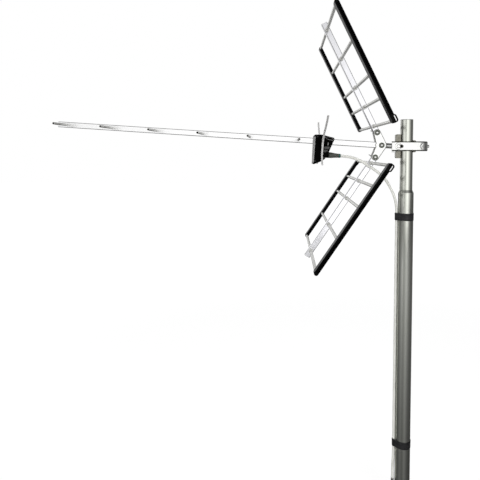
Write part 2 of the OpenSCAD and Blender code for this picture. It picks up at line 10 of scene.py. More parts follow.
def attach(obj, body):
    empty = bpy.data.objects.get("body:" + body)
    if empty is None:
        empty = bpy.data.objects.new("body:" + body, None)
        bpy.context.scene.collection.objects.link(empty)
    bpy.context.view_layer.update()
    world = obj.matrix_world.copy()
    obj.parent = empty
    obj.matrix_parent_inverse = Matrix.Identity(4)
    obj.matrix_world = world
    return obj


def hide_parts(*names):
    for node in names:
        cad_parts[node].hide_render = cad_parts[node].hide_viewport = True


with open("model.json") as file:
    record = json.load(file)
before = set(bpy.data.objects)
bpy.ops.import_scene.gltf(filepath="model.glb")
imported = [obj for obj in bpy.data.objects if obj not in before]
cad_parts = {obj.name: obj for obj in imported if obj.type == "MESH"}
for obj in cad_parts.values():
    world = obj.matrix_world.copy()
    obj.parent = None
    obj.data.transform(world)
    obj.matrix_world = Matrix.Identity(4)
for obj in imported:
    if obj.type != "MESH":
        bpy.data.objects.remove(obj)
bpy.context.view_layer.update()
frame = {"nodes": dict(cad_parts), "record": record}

MM = 0.001

# The photograph's frame and the camera fitted to it
FRAME_PX = 480
FOCAL_PX = 475
CENTRE_RISE_PX = 72
CAMERA_AT = Vector((-340.6, -1396.8, 1015.9)) * MM
CAMERA_YAW = math.radians(-5.589)
CAMERA_PITCH = math.radians(-2.004)
CAMERA_ROLL = math.radians(0.083)
SENSOR_MM = 36
CLIP_START = 0.05
CLIP_END = 60

# Floor: half its side, its middle behind the mast, and its depth below the mast's foot
FLOOR_HALF = 9000
FLOOR_BACK = 4000
FLOOR_DROP = 0.5
# Its tone in reflections near and far from the mast, between two distances in metres; darker near the
# mast as painted shade
FLOOR_NEAR = 0.15
FLOOR_FAR = 0.68
FLOOR_TONE_SPAN = (0.2, 4.2)
# How much of that tone follows the studio's ring, as painted studio light, and how much is even
FLOOR_RING_SHARE = 0.6
FLOOR_EVEN_SHARE = 0.36
# Its tone to the camera and to diffuse light
FLOOR_PAPER = 0.9
# Its own light to the camera: the strength, and the share between two distances in metres
FLOOR_GLOW = 1.06
GLOW_SHARE = (0.86, 1.0)
GLOW_SPAN = (1.4, 3.4)

# Driving sizes of the antenna, as in the CAD source, in millimetres
MAST_R = 21.2
CLAMP_Z = 1031
HUB_REACH = 71
PIVOT_REACH = 28.5
TILT = math.radians(3.8)
PANEL_ANGLE = math.radians(60.4)
TUBE_W = 16.8
TUBE_WALL = 1.2
TUBE_EDGE_R = 1.9
TUBE_BORE_R = 0.9
TUBE_CHAMFER = 0.3
BOOM_FRONT = 964
BOOM_TAIL = 12
SPINE_START = 15
SPINE_END = 386
PANEL_BACK = 4
PLATE_T = 2.2
BOLT_REACH = 38
BOLT_R = 2.9
BOLT_TAIL = 11
BOLT_PITCH = 1.0
WASHER_T = 1.2
BOX_FRONT = 196
DIRECTOR_REACH = 941
DIRECTOR_PITCH = 141
DIRECTOR_LEN = 166
DIRECTOR_STEP = 5
DIRECTORS = 6
PLUG_INSET = 1.2
YOKE_H = 27
YOKE_HALF = 27
YOKE_CORNER = 3.6
YOKE_BEND_X = 30.5
YOKE_NEAR_END = -46
YOKE_FAR_END = -35
# Dark skin over the yoke's rounded edges, a painted shade: how far out it stands and how far in it
# sinks
YOKE_SHADE_PROUD = 0.15
YOKE_SHADE_SUNK = 0.4
BOX_NOSE = 2.5
BOX_CORNER_R = 8
BOX_W = 52
# Paler strip over the box's front near corner, a painted highlight: its foot and top, how far it
# stands proud, its thickness and its sweep in degrees
BOX_HIGHLIGHT_SPAN = (-62, 12)
HIGHLIGHT_PROUD = 0.25
HIGHLIGHT_T = 0.7
HIGHLIGHT_SWEEP = 68
OUTLET_X = 49
OUTLET_Y = -10
OUTLET_DROP = 38
BOOT_RINGS = 6
BOOT_RING_PITCH = 2.6
CABLE_X = -25.4
CABLE_D = 7.8
PLUG_X = -27.5
PLUG_TOP = 62
PLUG_LEN = 30
TAPE_SLACK = 0.1
TAPE_H = 21
TAPE_PLACES = {"upper_tape": CLAMP_Z - 201, "lower_tape": CLAMP_Z - 862}
# Section of a band, with its three laps: (height from the band's foot, distance from mast and cable)
TAPE_LAPS = [
    (0, 0.05), (0, 0.5), (0.25, 0.7), (2.6, 0.72), (2.9, 0.78), (3.0, 0.92), (9.5, 0.95),
    (15.8, 0.93), (15.95, 1.08), (16.1, 1.16), (20.6, 1.16), (20.9, 1.0), (TAPE_H, 0.6),
    (TAPE_H, 0.05),
]

HUB_Z = CLAMP_Z + (HUB_REACH - PIVOT_REACH) * math.tan(TILT)
HUB = Matrix.Translation(Vector((-HUB_REACH, 0, HUB_Z))) @ Matrix.Rotation(TILT, 4, "Y")
BOX = HUB @ Matrix.Translation(Vector((-BOX_FRONT, 0, 0)))
TO_METRES = Matrix.Scale(MM, 4)


# Camera

def make_camera():
    """A camera with the photograph's view: its place, turn, focal length and shifted middle."""
    forward = Vector((
        math.sin(CAMERA_YAW) * math.cos(CAMERA_PITCH),
        math.cos(CAMERA_YAW) * math.cos(CAMERA_PITCH),
        math.sin(CAMERA_PITCH),
    ))
    level = Vector((math.cos(CAMERA_YAW), -math.sin(CAMERA_YAW), 0))
    rise = level.cross(forward)
    right = math.cos(CAMERA_ROLL) * level + math.sin(CAMERA_ROLL) * rise
    up = right.cross(forward)
    data = bpy.data.cameras.new("camera")
    data.sensor_width = SENSOR_MM
    data.lens = SENSOR_MM * FOCAL_PX / FRAME_PX
    data.shift_y = -CENTRE_RISE_PX / FRAME_PX
    data.clip_start = CLIP_START
    data.clip_end = CLIP_END
    camera = bpy.data.objects.new("camera", data)
    turn = Matrix((right, up, -forward)).transposed().to_4x4()
    camera.matrix_world = Matrix.Translation(CAMERA_AT) @ turn
    bpy.context.scene.collection.objects.link(camera)
    bpy.context.scene.camera = camera


# Meshes

def add_mesh(name, mesh_data, matrix, smooth_angle=35):
    """A new piece from a bmesh in millimetres, placed by a matrix in millimetres."""
    bmesh.ops.remove_doubles(mesh_data, verts=mesh_data.verts, dist=0.001)
    bmesh.ops.recalc_face_normals(mesh_data, faces=mesh_data.faces)
    mesh = bpy.data.meshes.new(name)
    mesh_data.to_mesh(mesh)
    mesh_data.free()
    mesh.transform(TO_METRES @ matrix)
    if matrix.determinant() < 0:
        mesh.flip_normals()
    mesh.shade_smooth()
    mesh.set_sharp_from_angle(angle=math.radians(smooth_angle))
    piece = bpy.data.objects.new(name, mesh)
    bpy.context.scene.collection.objects.link(piece)
    return piece


def lathe_into(mesh_data, profile, matrix=Matrix(), sides=48, ripple=None):
    """Adds a revolved profile of (radius, height) points; ripple(angle, height) widens it."""
    rings = []
    for radius, height in profile:
        if radius == 0:
            rings.append([mesh_data.verts.new(matrix @ Vector((0, 0, height)))])
            continue
        ring = []
        for k in range(sides):
            angle = 2 * math.pi * k / sides
            r = radius + (ripple(angle, height) if ripple else 0)
            place = Vector((r * math.cos(angle), r * math.sin(angle), height))
            ring.append(mesh_data.verts.new(matrix @ place))
        rings.append(ring)
    for low, high in zip(rings, rings[1:]):
        if len(low) == 1 and len(high) == 1:
            continue
        for k in range(sides):
            n = (k + 1) % sides
            if len(low) == 1:
                mesh_data.faces.new((low[0], high[n], high[k]))
            elif len(high) == 1:
                mesh_data.faces.new((low[k], low[n], high[0]))
            else:
                mesh_data.faces.new((low[k], low[n], high[n], high[k]))


def round_square(half, radius, steps=5, margin=0.3):
    """Outline of a square with round corners; a point beside each corner keeps the sides flat."""
    reach = half - radius
    quarter = [(half, reach - margin)]
    for k in range(steps + 1):
        angle = math.pi / 2 * k / steps
        quarter.append((reach + radius * math.cos(angle), reach + radius * math.sin(angle)))
    quarter.append((reach - margin, half))
    outline = []
    for _ in range(4):
        outline += quarter
        quarter = [(-b, a) for a, b in quarter]
    return outline


def loft_into(mesh_data, rings, closed=False):
    """Joins rings of points, all with the same count, with quads."""
    rows = [[mesh_data.verts.new(p) for p in ring] for ring in rings]
    if closed:
        rows.append(rows[0])
    for low, high in zip(rows, rows[1:]):
        for k in range(len(low)):
            n = (k + 1) % len(low)
            mesh_data.faces.new((low[k], low[n], high[n], high[k]))
    return rows


def square_tube(name, start, end, matrix, material, replaced):
    """An extruded square tube with round edges in a darker material as painted shade, and faintly
    broken cut ends.
    """
    half, bore, cut = TUBE_W / 2, TUBE_W / 2 - TUBE_WALL, TUBE_CHAMFER
    sections = [
        (start + cut, bore, TUBE_BORE_R), (start, bore + cut, TUBE_BORE_R + 0.2),
        (start, half - cut, TUBE_EDGE_R - cut), (start + cut, half, TUBE_EDGE_R),
        (end - cut, half, TUBE_EDGE_R), (end, half - cut, TUBE_EDGE_R - cut),
        (end, bore + cut, TUBE_BORE_R + 0.2), (end - cut, bore, TUBE_BORE_R),
    ]
    rings = [[(x, y, z) for y, z in round_square(w, r)] for x, w, r in sections]
    mesh = bmesh.new()
    loft_into(mesh, rings, closed=True)
    tube = add_mesh(name, mesh, matrix)
    finish_piece(tube, "boom_aluminium", replaced, MATERIALS[material])
    # The rounded edge faces get a darker material: painted shade along the edges.
    tube.data.materials.append(MATERIALS["edge_aluminium"])
    turn = matrix.to_3x3().inverted()
    for face in tube.data.polygons:
        face.material_index = int(max(abs(share) for share in turn @ face.normal) < 0.97)


def finish_piece(piece, slot, replaced=(), material=None):
    """Gives a piece its material, the slot's unless another is given, hides the CAD nodes that it
    replaces, and gives it its body.
    """
    piece.data.materials.append(material or MATERIALS[slot])
    if replaced:
        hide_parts(*replaced)
    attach(piece, "root")
    return piece


def facing_camera_side(x, y, z):
    """Frame on the hub with its own Z pointing to the near side, along -Y."""
    return HUB @ Matrix.Translation(Vector((x, y, z))) @ Matrix.Rotation(math.pi / 2, 4, "X")


def make_tubes():
    """The boom, and the two spines that carry the reflector panels."""
    square_tube("boom", -BOOM_FRONT, BOOM_TAIL, HUB, "boom_aluminium", ["boom_tube"])
    for side, sign in (("upper", 1), ("lower", -1)):
        flip = Matrix.Scale(sign, 4, Vector((0, 0, 1)))
        turn = Matrix.Rotation(PANEL_ANGLE - math.pi, 4, "Y")
        panel = HUB @ flip @ turn @ Matrix.Translation(Vector((0, 0, -PANEL_BACK)))
        square_tube(
            side + "_spine_tube", SPINE_START, SPINE_END, panel, "spine_aluminium", [side + "_spine"],
        )


def bolt_places():
    """Where the three bolts cross the hub: (x, z)."""
    x = PANEL_BACK * math.sin(PANEL_ANGLE) - BOLT_REACH * math.cos(PANEL_ANGLE)
    z = PANEL_BACK * math.cos(PANEL_ANGLE) + BOLT_REACH * math.sin(PANEL_ANGLE)
    return [(0, 0), (x, z), (x, -z)]


def make_bolts():
    """Three bolts: a bright domed end in a dark cupped washer, and a threaded tail."""
    heads, washers = bmesh.new(), bmesh.new()
    seat = TUBE_W / 2 + PLATE_T
    far_face = -2 * seat - WASHER_T
    for x, z in bolt_places():
        near = facing_camera_side(x, -seat, z)
        lathe_into(heads, [
            (0, 5.1), (1.6, 5.0), (BOLT_R, 4.6), (3.9, 3.8), (4.5, 2.8), (4.8, 1.8), (4.8, 1.2),
            (BOLT_R, 1.2), (BOLT_R, far_face),
        ], near, sides=48)
        thread = [(BOLT_R, far_face)]
        for k in range(10):
            low = far_face - k * BOLT_PITCH
            thread += [(2.5, low - 0.25 * BOLT_PITCH), (2.95, low - 0.75 * BOLT_PITCH)]
        thread += [(2.3, far_face - BOLT_TAIL), (0, far_face - BOLT_TAIL)]
        lathe_into(heads, thread, near, sides=32)
        for top, low in ((WASHER_T, 0), (-2 * seat, far_face)):
            lathe_into(washers, [
                (3.2, low), (7.6, low), (8, low + 0.35), (8, top - 0.35), (7.5, top),
                (6.2, top - 0.05), (5.3, top - 0.4), (3.2, top - 0.4), (3.2, low),
            ], near, sides=64)
    finish_piece(add_mesh("bolt_heads", heads, Matrix()), "fasteners", ["hub_bolts"])
    rings = add_mesh("bolt_washers", washers, Matrix())
    finish_piece(rings, "fasteners", ["hub_washers"], MATERIALS["dark_steel"])


def make_boot():
    """Strain relief: a plain collar, then a taper with shallow rings."""
    profile = [(4.3, 6), (4.3, 0), (7.8, 0), (8.2, 0.5), (8.2, 7.6), (7.9, 8.2), (7.6, 10.6)]
    for k in range(BOOT_RINGS):
        along = 12 + BOOT_RING_PITCH * k
        r = 7.4 - 0.1 * (along - 11)
        profile += [
            (r, along), (r - 0.1, along + 1.3), (r - 0.55, along + 1.5), (r - 0.6, along + 2.1),
            (r - 0.2, along + 2.3),
        ]
    profile += [
        (5.8, 28.6), (5.7, 29), (4.85, 29.1), (4.8, 33.6), (4.5, 34), (4.1, 34), (4.1, 6), (4.3, 6),
    ]
    mesh = bmesh.new()
    lathe_into(mesh, profile, Matrix.Rotation(math.pi / 2, 4, "Y"), sides=64)
    place = BOX @ Matrix.Translation(Vector((OUTLET_X, OUTLET_Y, -OUTLET_DROP)))
    finish_piece(add_mesh("boot", mesh, place, smooth_angle=50), "boot_rubber", ["cable_boot"])


def make_box_corner_highlight():
    """A paler strip round the front near corner of the dipole box: a painted highlight on the rounded
    corner.
    """
    corner_r = BOX_CORNER_R + HIGHLIGHT_PROUD
    rows = []
    for k in range(13):
        height = BOX_HIGHLIGHT_SPAN[0] + (BOX_HIGHLIGHT_SPAN[1] - BOX_HIGHLIGHT_SPAN[0]) * k / 12
        ring = []
        for thick in (0, HIGHLIGHT_T):
            span = range(9) if thick == 0 else range(8, -1, -1)
            for m in span:
                angle = math.radians(180 + HIGHLIGHT_SWEEP * m / 8)
                r = corner_r - thick
                ring.append((
                    BOX_NOSE + BOX_CORNER_R + r * math.cos(angle),
                    BOX_CORNER_R - BOX_W / 2 + r * math.sin(angle), height,
                ))
        rows.append(ring)
    mesh = bmesh.new()
    made = loft_into(mesh, rows)
    mesh.faces.new(made[0])
    mesh.faces.new(made[-1])
    finish_piece(add_mesh("box_corner_highlight", mesh, BOX), "box_plastic", (), MATERIALS["grey_plastic"])


def make_director_plugs():
    """Dark plugs a little inside both ends of each director."""
    mesh = bmesh.new()
    profile = [(0, -0.3), (1.2, -0.2), (2.2, 0.1), (2.55, -0.2), (2.55, -2), (0, -2)]
    for i in range(DIRECTORS):
        x = i * DIRECTOR_PITCH - DIRECTOR_REACH
        half = (DIRECTOR_LEN + i * DIRECTOR_STEP) / 2 - PLUG_INSET
        for sign in (-1, 1):
            place = Matrix.Translation(Vector((x, sign * half, 0)))
            turn = Matrix.Rotation(-sign * math.pi / 2, 4, "X")
            lathe_into(mesh, profile, place @ turn, sides=24)
    finish_piece(add_mesh("director_plugs", mesh, HUB), "rail_plastic")


def yoke_path(distance):
    """Points of the line round the yoke at a distance from its middle plane: (x, y)."""
    near, far = YOKE_BEND_X - YOKE_NEAR_END, YOKE_BEND_X - YOKE_FAR_END
    points = [(YOKE_NEAR_END + near * k / 6, -distance) for k in range(6)]
    for k in range(25):
        angle = math.pi * k / 24 - math.pi / 2
        points.append((YOKE_BEND_X + distance * math.cos(angle), distance * math.sin(angle)))
    return points + [(YOKE_BEND_X - far * k / 5, distance) for k in range(1, 6)]


def make_yoke_edge_shade():
    """A dark olive skin over the rounded top and bottom edges of the clamp yoke: painted shade."""
    mesh = bmesh.new()
    centre = YOKE_HALF - YOKE_CORNER
    outer, inner = YOKE_CORNER + YOKE_SHADE_PROUD, YOKE_CORNER - YOKE_SHADE_SUNK
    for sign in (-1, 1):
        section = []
        for r, angles in ((outer, range(12, 93, 8)), (inner, range(92, 11, -8))):
            for angle in angles:
                a = math.radians(angle)
                rise = YOKE_H / 2 - YOKE_CORNER + r * math.sin(a)
                section.append((centre + r * math.cos(a), sign * min(rise, YOKE_H / 2 + 0.1)))
        paths = [(yoke_path(distance), height) for distance, height in section]
        rings = [[(*path[k], height) for path, height in paths] for k in range(len(paths[0][0]))]
        rows = loft_into(mesh, rings)
        mesh.faces.new(rows[0])
        mesh.faces.new(rows[-1])
    place = Matrix.Translation(Vector((0, 0, CLAMP_Z)))
    finish_piece(add_mesh("yoke_edge_shade", mesh, place), "clamp_steel", (), MATERIALS["olive_steel"])


def make_box_highlight_relief():
    """Raised frame, bar and pads of the dipole box's near side: paler tops as painted highlights, and
    faint grey pads as painted reflections.
    """
    mesh = bmesh.new()

    def pad(outline, base, top, inner=None):
        rows = loft_into(mesh, [[(x, -BOX_W / 2 - h, z) for x, z in outline] for h in (base, top)])
        if inner:
            more = loft_into(mesh, [[(x, -BOX_W / 2 - h, z) for x, z in inner] for h in (top, base)])
            for k in range(len(outline)):
                n = (k + 1) % len(outline)
                mesh.faces.new((rows[1][k], rows[1][n], more[0][n], more[0][k]))
        else:
            mesh.faces.new(rows[1])

    def stadium(x0, z0, x1, z1, r, count=10):
        lean = math.atan2(z1 - z0, x1 - x0)
        points = []
        for (x, z), turn in (((x1, z1), -math.pi / 2), ((x0, z0), math.pi / 2)):
            for k in range(count + 1):
                a = lean + turn + math.pi * k / count
                points.append((x + r * math.cos(a), z + r * math.sin(a)))
        return points

    # Paler tops on the box's relief: painted highlights.
    pad(stadium(42, 10, 54, 8, 3.9), 0.2, 2.1, stadium(42, 10, 54, 8, 3.1))
    pad(stadium(30, 12.5, 35, 12, 1.6), 0, 0.8, stadium(30, 12.5, 35, 12, 0.9))
    pad(stadium(44, -3.5, 44, -9.5, 1.1), 1.2, 1.9)
    finish_piece(add_mesh("box_highlight_relief", mesh, BOX), "box_plastic", (), MATERIALS["worn_plastic"])
    # Two faint grey pads on the black side: painted soft reflections.
    mesh = bmesh.new()
    pad(stadium(36, -18, 46, -17, 3.2), 0, 0.7)
    pad(stadium(36, -27, 41, -27, 3.4), 0, 0.5)
    finish_piece(add_mesh("box_reflection_pads", mesh, BOX), "box_plastic", (), MATERIALS["shaded_plastic"])


def wrap_outline(offset, count=120):
    """The line round the mast and the cable at its side, a set distance out from both."""
    big, small = MAST_R + offset, CABLE_D / 2 + TAPE_SLACK + offset
    lean = math.acos((big - small) / -CABLE_X)
    outline = []
    for k in range(count):
        angle = 2 * math.pi * k / count - (math.pi - lean)
        if angle < math.pi - lean:
            outline.append((big * math.cos(angle), big * math.sin(angle)))
        else:
            outline.append((CABLE_X + small * math.cos(angle), small * math.sin(angle)))
    return outline


def make_tapes():
    """Each band is three laps of tape, one a little below the other, with slack wrinkled edges."""
    for name, middle in TAPE_PLACES.items():
        low = middle - TAPE_H / 2
        rings = []
        for height, offset in TAPE_LAPS:
            ring = []
            for k, (x, y) in enumerate(wrap_outline(offset)):
                wave = 0.12 * math.sin(k * 0.37 + height * 0.2 + middle) + 0.08 * math.sin(k * 0.83)
                edge = wave if 0 < height < TAPE_H else 0
                ring.append((x, y, low + height + edge))
            rings.append(ring)
        mesh = bmesh.new()
        loft_into(mesh, rings, closed=True)
        finish_piece(add_mesh(name + "_wrap", mesh, Matrix(), smooth_angle=40), "tape", [name])


# Cable: the same route as the CAD tube

CABLE_ROUTE = [
    (-198, -10, 1004), (-186, -10, 1003.2), (-173, -10, 1002), (-160, -11, 1000), (-146, -12, 996),
    (-132, -14, 990), (-119, -15, 983), (-107, -16, 974), (-94, -15, 966),
    (-80, -13, 956), (-67, -10, 945), (-56, -7, 932), (-47, -4, 917),
    (-38, -2, 900), (-31, -1, 882), (-27, 0, 864), (CABLE_X, 0, 846),
    (CABLE_X, 0, 820), (CABLE_X, 0, 780), (CABLE_X, 0, 720), (CABLE_X, 0, 660),
    (CABLE_X, 0, 600), (CABLE_X, 0, 540), (CABLE_X, 0, 480), (CABLE_X, 0, 420),
    (CABLE_X, 0, 360), (CABLE_X, 0, 300), (CABLE_X, 0, 240), (CABLE_X, 0, 190),
    (CABLE_X, 0, 150), (-26.2, 0, 120), (PLUG_X, 0, 90), (PLUG_X, 0, 76), (PLUG_X, 0, PLUG_TOP),
]
CABLE_STEPS = 6


def smooth_route(route, steps):
    """Points on the curve that passes through the route's points."""
    points = [Vector(p) for p in route]
    last = len(points) - 1
    smooth = []
    for i in range(last):
        a, b = points[max(i - 1, 0)], points[i]
        c, d = points[i + 1], points[min(i + 2, last)]
        for s in range(steps):
            t = s / steps
            bend = 2 * a - 5 * b + 4 * c - d
            twist = 3 * b - a - 3 * c + d
            smooth.append(0.5 * (2 * b + (c - a) * t + bend * t * t + twist * t * t * t))
    return smooth + [points[last]]


def make_cable(plug):
    """The round jacket along the CAD route; the plug argument is not used."""
    path = [p * MM for p in smooth_route(CABLE_ROUTE, CABLE_STEPS)]
    data = bpy.data.curves.new("cable", "CURVE")
    data.dimensions = "3D"
    data.bevel_depth = CABLE_D / 2 * MM
    data.bevel_resolution = 6
    data.use_fill_caps = True
    spline = data.splines.new("POLY")
    spline.points.add(len(path) - 1)
    for point, place in zip(spline.points, path):
        point.co = (*place, 1)
    spline.use_smooth = True
    cable = bpy.data.objects.new("cable", data)
    bpy.context.scene.collection.objects.link(cable)
    finish_piece(cable, "cable_jacket", ["coax_cable"])


def make_plug():
    """A screw-on coaxial plug: crimp sleeve, knurled body, hexagon nut and centre pin."""
    mesh = bmesh.new()
    knurl = lambda angle, height: 0.14 * math.cos(24 * angle) if 14 < height < 20 else 0
    lathe_into(mesh, [
        (0, PLUG_LEN), (4.1, PLUG_LEN), (4.2, 29.6), (4.2, 22.4), (4, 22), (4, 20.6), (4.5, 20.2),
        (4.6, 19.6), (4.6, 14.6), (4.5, 14), (3.6, 13.6), (3.6, 12.4), (0, 12.4),
    ], sides=96, ripple=knurl)
    hexagon = lambda r: r / math.cos(math.pi / 6)
    lathe_into(mesh, [
        (2.2, 12.4), (hexagon(4.4), 12.4), (hexagon(5), 11.4), (hexagon(5), 1), (hexagon(4.4), 0),
        (hexagon(4.2), 0), (hexagon(4.2), 8), (0, 8),
    ], Matrix.Rotation(math.pi / 6, 4, "Z"), sides=6)
    lathe_into(mesh, [(0, 9), (0.5, 9), (0.5, -2.6), (0.2, -3), (0, -3)], sides=12)
    place = Matrix.Translation(Vector((PLUG_X, 0, PLUG_TOP - PLUG_LEN)))
    return finish_piece(add_mesh("plug", mesh, place), "connector_metal", ["cable_plug"])


# Materials

# Where painted shade changes the aluminium's tone, in metres: along X on the boom, and each way from
# the hub on Z
BOOM_SHADE_SPAN = (-1.0, -0.1)
SPINE_SHADE_REACH = 0.34
# Tones of the bright plating that the yoke, the tail block and the hub plates share
PLATED = ((0.68, 0.685, 0.67), (0.75, 0.75, 0.735))


class Shader:
    """A node material with one Principled shader, built up by short calls."""

    def __init__(self, name, **fixed):
        self.material = bpy.data.materials.new(name)
        self.material.use_nodes = True
        self.tree = self.material.node_tree
        self.shader = self.tree.nodes["Principled BSDF"]
        self.place = None
        for socket, value in fixed.items():
            self.shader.inputs[socket.replace("_", " ")].default_value = value

    def node(self, kind, **settings):
        made = self.tree.nodes.new(kind)
        for key, value in settings.items():
            setattr(made, key, value)
        return made

    def link(self, source, target):
        self.tree.links.new(source, target)

    def coordinates(self, scale=(1, 1, 1)):
        if self.place is None:
            self.place = self.node("ShaderNodeTexCoord")
        mapping = self.node("ShaderNodeMapping")
        mapping.inputs["Scale"].default_value = scale
        self.link(self.place.outputs["Object"], mapping.inputs["Vector"])
        return mapping.outputs["Vector"]

    def noise(self, scale, stretch=(1, 1, 1), detail=4, roughness=0.55):
        made = self.node("ShaderNodeTexNoise")
        made.inputs["Scale"].default_value = scale
        made.inputs["Detail"].default_value = detail
        made.inputs["Roughness"].default_value = roughness
        self.link(self.coordinates(stretch), made.inputs["Vector"])
        return made.outputs["Fac"]

    def ramp(self, factor, stops):
        made = self.node("ShaderNodeValToRGB")
        elements = made.color_ramp.elements
        while len(elements) < len(stops):
            elements.new(0.5)
        for element, (position, colour) in zip(elements, stops):
            element.position = position
            element.color = (*colour, 1)
        self.link(factor, made.inputs["Fac"])
        return made.outputs["Color"]

    def along(self, axis, start, end, tones):
        """Grey tones from one place to another on an axis, in metres."""
        parts = self.node("ShaderNodeSeparateXYZ")
        self.link(self.coordinates(), parts.inputs["Vector"])
        share = self.spread(parts.outputs[axis], 0, 1, start, end)
        return self.ramp(share, [(place, (tone, tone, tone)) for place, tone in tones])

    def spread(self, factor, low, high, start=0.3, end=0.7):
        made = self.node("ShaderNodeMapRange")
        made.inputs["From Min"].default_value = start
        made.inputs["From Max"].default_value = end
        made.inputs["To Min"].default_value = low
        made.inputs["To Max"].default_value = high
        self.link(factor, made.inputs["Value"])
        return made.outputs["Result"]

    def mix(self, factor, first, second, blend="MIX"):
        made = self.node("ShaderNodeMix", data_type="RGBA", blend_type=blend)
        for name, value in (("Factor", factor), ("A", first), ("B", second)):
            sockets = [socket for socket in made.inputs if socket.name == name]
            target = next(i for i in sockets if name == "Factor" or i.type == "RGBA")
            if hasattr(value, "is_linked"):
                self.link(value, target)
            elif name == "Factor":
                target.default_value = value
            else:
                target.default_value = (*value, 1)
        return next(o for o in made.outputs if o.type == "RGBA")

    def bump(self, height, distance, strength=1.0):
        made = self.node("ShaderNodeBump")
        made.inputs["Strength"].default_value = strength
        made.inputs["Distance"].default_value = distance
        self.link(height, made.inputs["Height"])
        if self.shader.inputs["Normal"].is_linked:
            self.link(self.shader.inputs["Normal"].links[0].from_socket, made.inputs["Normal"])
        self.link(made.outputs["Normal"], self.shader.inputs["Normal"])
        return self

    def soften(self, radius):
        """Shades the edges as if rounded with this radius in millimetres; called before bump."""
        made = self.node("ShaderNodeBevel", samples=8)
        made.inputs["Radius"].default_value = radius * MM
        self.link(made.outputs["Normal"], self.shader.inputs["Normal"])
        return self

    def set(self, socket, value):
        self.link(value, self.shader.inputs[socket])
        return self


def mast_steel():
    """Drab galvanised tube with lengthwise streaks."""
    s = Shader("mast_steel", Metallic=1.0).soften(2.5)
    streaks = s.noise(55, (1, 1, 0.02), detail=6)
    blotches = s.noise(9, (1, 1, 0.5), detail=5)
    tone = s.ramp(streaks, [
        (0.3, (0.57, 0.585, 0.53)), (0.5, (0.64, 0.65, 0.60)), (0.7, (0.70, 0.705, 0.66)),
    ])
    grime = s.ramp(blotches, [(0.42, (1, 1, 1)), (0.75, (0.84, 0.85, 0.80))])
    s.set("Base Color", s.mix(0.4, tone, grime, "MULTIPLY"))
    s.set("Roughness", s.spread(blotches, 0.14, 0.18))
    s.bump(s.noise(120, (1, 1, 0.02), detail=2), 0.0001, 0.03)
    return s.material


def spine_aluminium():
    """The boom's aluminium, a little cooler, and darker with height as painted shade."""
    s = Shader("spine_aluminium", Metallic=1.0)
    low, high = HUB_Z * MM - SPINE_SHADE_REACH, HUB_Z * MM + SPINE_SHADE_REACH
    # Painted shade: the tone falls with height, from below the hub to above it.
    tones = [(0, 1), (0.15, 0.94), (0.32, 0.72), (0.5, 0.68), (0.62, 0.65), (1, 0.57)]
    s.set("Base Color", s.mix(1.0, s.along("Z", low, high, tones), (0.97, 0.97, 1), "MULTIPLY"))
    s.set("Roughness", s.spread(s.noise(60), 0.14, 0.2))
    return s.material


def extruded_aluminium():
    """Clean satin aluminium with faint lines along the boom, darker toward the hub as painted shade.
    """
    s = Shader("boom_aluminium", Metallic=1.0)
    # Painted shade: the tone falls from the front of the boom toward the hub.
    tones = [(0, 1), (0.2, 1), (0.5, 0.86), (0.75, 0.71), (1, 0.69)]
    tone = s.along("X", *BOOM_SHADE_SPAN, tones)
    cloud = s.ramp(s.noise(14, detail=5), [(0.3, (0.97, 0.97, 0.97)), (0.7, (1, 1, 1))])
    s.set("Base Color", s.mix(1.0, tone, cloud, "MULTIPLY"))
    s.set("Roughness", s.spread(s.noise(120, (0.05, 1, 1)), 0.2, 0.3))
    s.bump(s.noise(700, (0.01, 1, 1), detail=2), 0.0001, 0.02)
    return s.material


def drawn_aluminium(name, low, high):
    """Drawn rod, cloudy, with faint lines along it."""
    s = Shader(name, Metallic=1.0)
    cloud = s.noise(20, (1, 0.2, 1), detail=5)
    s.set("Base Color", s.ramp(cloud, [(0.3, low), (0.7, high)]))
    s.set("Roughness", s.spread(s.noise(200, (1, 0.03, 1)), 0.34, 0.42))
    s.bump(s.noise(200, (1, 0.02, 1), detail=2), 0.0001, 0.01)
    return s.material


def dull_aluminium():
    """Flat bar with a matt, slightly cloudy face."""
    s = Shader("strip_aluminium", Metallic=0.15)
    cloud = s.noise(30, detail=5)
    s.set("Base Color", s.ramp(cloud, [(0.3, (0.46, 0.455, 0.45)), (0.7, (0.54, 0.535, 0.53))]))
    s.set("Roughness", s.spread(s.noise(150), 0.4, 0.55))
    s.bump(s.noise(200, detail=3), 0.0001, 0.02)
    return s.material


def zinc(name, low, high, rough=0.3, edge_r=0.8):
    """Plated metal, or the darker edges of tubes and parts that are painted shade: a faint spangle and
    softened edges.
    """
    s = Shader(name, Metallic=1.0).soften(edge_r)
    patches = s.noise(60, detail=6, roughness=0.6)
    s.set("Base Color", s.ramp(patches, [(0.35, low), (0.65, high)]))
    s.set("Roughness", s.spread(s.noise(180), rough, rough + 0.12))
    s.bump(s.noise(720), 0.0001, 0.03)
    return s.material


def moulded(name, low, high, rough=0.3, grain=900, gloss=0.5):
    """Moulded plastic or rubber: a fine grain and slow patches of gloss."""
    s = Shader(name, Specular_IOR_Level=gloss)
    s.set("Base Color", s.ramp(s.noise(25, detail=6), [(0.35, low), (0.7, high)]))
    s.set("Roughness", s.spread(s.noise(40, detail=5), rough, rough + 0.12))
    s.bump(s.noise(grain, detail=3), 0.0001, 0.05)
    return s.material


